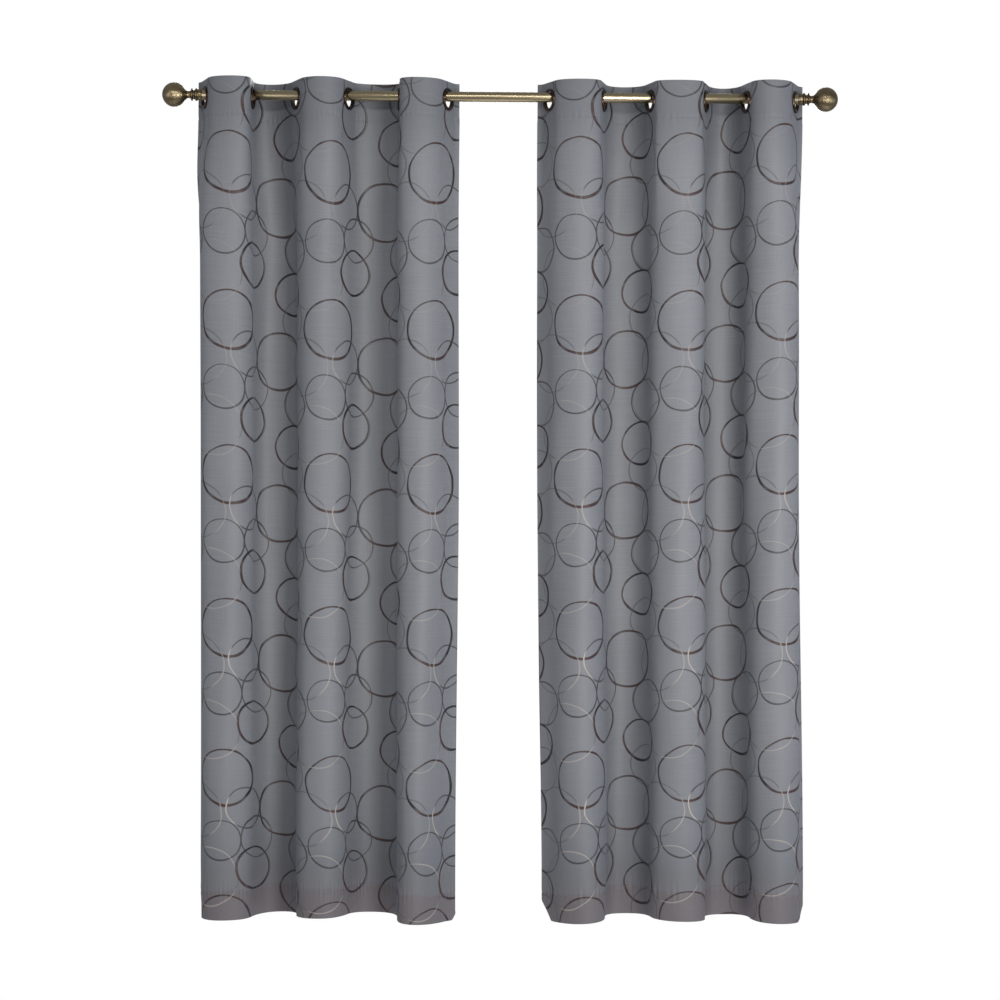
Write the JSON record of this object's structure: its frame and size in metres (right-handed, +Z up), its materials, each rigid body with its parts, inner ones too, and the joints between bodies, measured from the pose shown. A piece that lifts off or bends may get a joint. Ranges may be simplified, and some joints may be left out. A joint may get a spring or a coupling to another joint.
{
  "type": "grommet curtain panel pair on rod",
  "caption": "Pair of grommet-top curtain panels with a woven ring pattern, hung in deep folds on an antique brass rod with ball finials; each panel slides and draws open or closed.",
  "frame": {"origin": "on the rod's axis at the middle of its span, where the rod is held up", "axes": "+X along the rod to the viewer's right, +Z up, the room side of the curtain faces -Y"},
  "size_m": [1.719, 0.1374, 2.134],
  "materials": {
    "panel_cloth": "satin jacquard weave, slate grey with dark and copper ring pattern",
    "antique_bronze": "antique bronze plate, satin",
    "antique_brass": "brushed antique brass under lacquer",
    "zinc_steel": "zinc plated",
    "black_plastic": "moulded"
  },
  "bodies": {
    "rod": {"rod_tube": "antique_brass", "left_end_plug": "black_plastic", "left_finial_collar": "antique_brass", "left_finial_neck": "antique_brass", "left_finial_ball": "antique_brass", "left_finial_stud": "zinc_steel", "right_end_plug": "black_plastic", "right_finial_collar": "antique_brass", "right_finial_neck": "antique_brass", "right_finial_ball": "antique_brass", "right_finial_stud": "zinc_steel"},
    "left_grommet_1": {"left_grommet_1_front": "antique_bronze", "left_grommet_1_back": "antique_bronze", "left_panel_cloth_1": "panel_cloth", "left_heading_band_1": "panel_cloth"},
    "left_grommet_2": {"left_grommet_2_front": "antique_bronze", "left_grommet_2_back": "antique_bronze", "left_panel_cloth_2": "panel_cloth", "left_heading_band_2": "panel_cloth"},
    "left_grommet_3": {"left_grommet_3_front": "antique_bronze", "left_grommet_3_back": "antique_bronze", "left_panel_cloth_3": "panel_cloth", "left_heading_band_3": "panel_cloth"},
    "left_grommet_4": {"left_grommet_4_front": "antique_bronze", "left_grommet_4_back": "antique_bronze", "left_panel_cloth_4": "panel_cloth", "left_heading_band_4": "panel_cloth"},
    "left_grommet_5": {"left_grommet_5_front": "antique_bronze", "left_grommet_5_back": "antique_bronze", "left_panel_cloth_5": "panel_cloth", "left_heading_band_5": "panel_cloth"},
    "left_grommet_6": {"left_grommet_6_front": "antique_bronze", "left_grommet_6_back": "antique_bronze"},
    "right_grommet_1": {"right_grommet_1_front": "antique_bronze", "right_grommet_1_back": "antique_bronze", "right_panel_cloth_1": "panel_cloth", "right_heading_band_1": "panel_cloth"},
    "right_grommet_2": {"right_grommet_2_front": "antique_bronze", "right_grommet_2_back": "antique_bronze", "right_panel_cloth_2": "panel_cloth", "right_heading_band_2": "panel_cloth"},
    "right_grommet_3": {"right_grommet_3_front": "antique_bronze", "right_grommet_3_back": "antique_bronze", "right_panel_cloth_3": "panel_cloth", "right_heading_band_3": "panel_cloth"},
    "right_grommet_4": {"right_grommet_4_front": "antique_bronze", "right_grommet_4_back": "antique_bronze", "right_panel_cloth_4": "panel_cloth", "right_heading_band_4": "panel_cloth"},
    "right_grommet_5": {"right_grommet_5_front": "antique_bronze", "right_grommet_5_back": "antique_bronze", "right_panel_cloth_5": "panel_cloth", "right_heading_band_5": "panel_cloth"},
    "right_grommet_6": {"right_grommet_6_front": "antique_bronze", "right_grommet_6_back": "antique_bronze"}
  },
  "joints": [
    {"name": "left_panel_slide", "type": "slide", "parent": "rod", "child": "left_grommet_1", "axis": [1, 0, 0], "range_m": [0, 0.045]},
    {"name": "left_draw", "type": "slide", "parent": "left_grommet_1", "child": "left_grommet_2", "axis": [1, 0, 0], "range_m": [-0.062, 0.011], "deforming": ["left_panel_cloth_1", "left_heading_band_1"]},
    {"name": "left_spacing_2", "type": "slide", "parent": "left_grommet_2", "child": "left_grommet_3", "axis": [1, 0, 0], "range_m": [-0.0588, 0.0108], "deforming": ["left_panel_cloth_2", "left_heading_band_2"]},
    {"name": "left_spacing_3", "type": "slide", "parent": "left_grommet_3", "child": "left_grommet_4", "axis": [1, 0, 0], "range_m": [-0.0694, 0.0127], "deforming": ["left_panel_cloth_3", "left_heading_band_3"]},
    {"name": "left_spacing_4", "type": "slide", "parent": "left_grommet_4", "child": "left_grommet_5", "axis": [1, 0, 0], "range_m": [-0.0681, 0.0125], "deforming": ["left_panel_cloth_4", "left_heading_band_4"]},
    {"name": "left_spacing_5", "type": "slide", "parent": "left_grommet_5", "child": "left_grommet_6", "axis": [1, 0, 0], "range_m": [-0.0641, 0.0118], "deforming": ["left_panel_cloth_5", "left_heading_band_5"]},
    {"name": "right_panel_slide", "type": "slide", "parent": "rod", "child": "right_grommet_1", "axis": [-1, 0, 0], "range_m": [0, 0.036]},
    {"name": "right_draw", "type": "slide", "parent": "right_grommet_1", "child": "right_grommet_2", "axis": [-1, 0, 0], "range_m": [-0.062, 0.011], "deforming": ["right_panel_cloth_1", "right_heading_band_1"]},
    {"name": "right_spacing_2", "type": "slide", "parent": "right_grommet_2", "child": "right_grommet_3", "axis": [-1, 0, 0], "range_m": [-0.0526, 0.0098], "deforming": ["right_panel_cloth_2", "right_heading_band_2"]},
    {"name": "right_spacing_3", "type": "slide", "parent": "right_grommet_3", "child": "right_grommet_4", "axis": [-1, 0, 0], "range_m": [-0.0704, 0.0129], "deforming": ["right_panel_cloth_3", "right_heading_band_3"]},
    {"name": "right_spacing_4", "type": "slide", "parent": "right_grommet_4", "child": "right_grommet_5", "axis": [-1, 0, 0], "range_m": [-0.0603, 0.0111], "deforming": ["right_panel_cloth_4", "right_heading_band_4"]},
    {"name": "right_spacing_5", "type": "slide", "parent": "right_grommet_5", "child": "right_grommet_6", "axis": [-1, 0, 0], "range_m": [-0.0691, 0.0127], "deforming": ["right_panel_cloth_5", "right_heading_band_5"]}
  ],
  "couplings": [
    {"joint": "left_spacing_2", "follows": "left_draw", "ratio": 0.94},
    {"joint": "left_spacing_3", "follows": "left_draw", "ratio": 1.112},
    {"joint": "left_spacing_4", "follows": "left_draw", "ratio": 1.091},
    {"joint": "left_spacing_5", "follows": "left_draw", "ratio": 1.026},
    {"joint": "right_spacing_2", "follows": "right_draw", "ratio": 0.841},
    {"joint": "right_spacing_3", "follows": "right_draw", "ratio": 1.127},
    {"joint": "right_spacing_4", "follows": "right_draw", "ratio": 0.964},
    {"joint": "right_spacing_5", "follows": "right_draw", "ratio": 1.106}
  ]
}
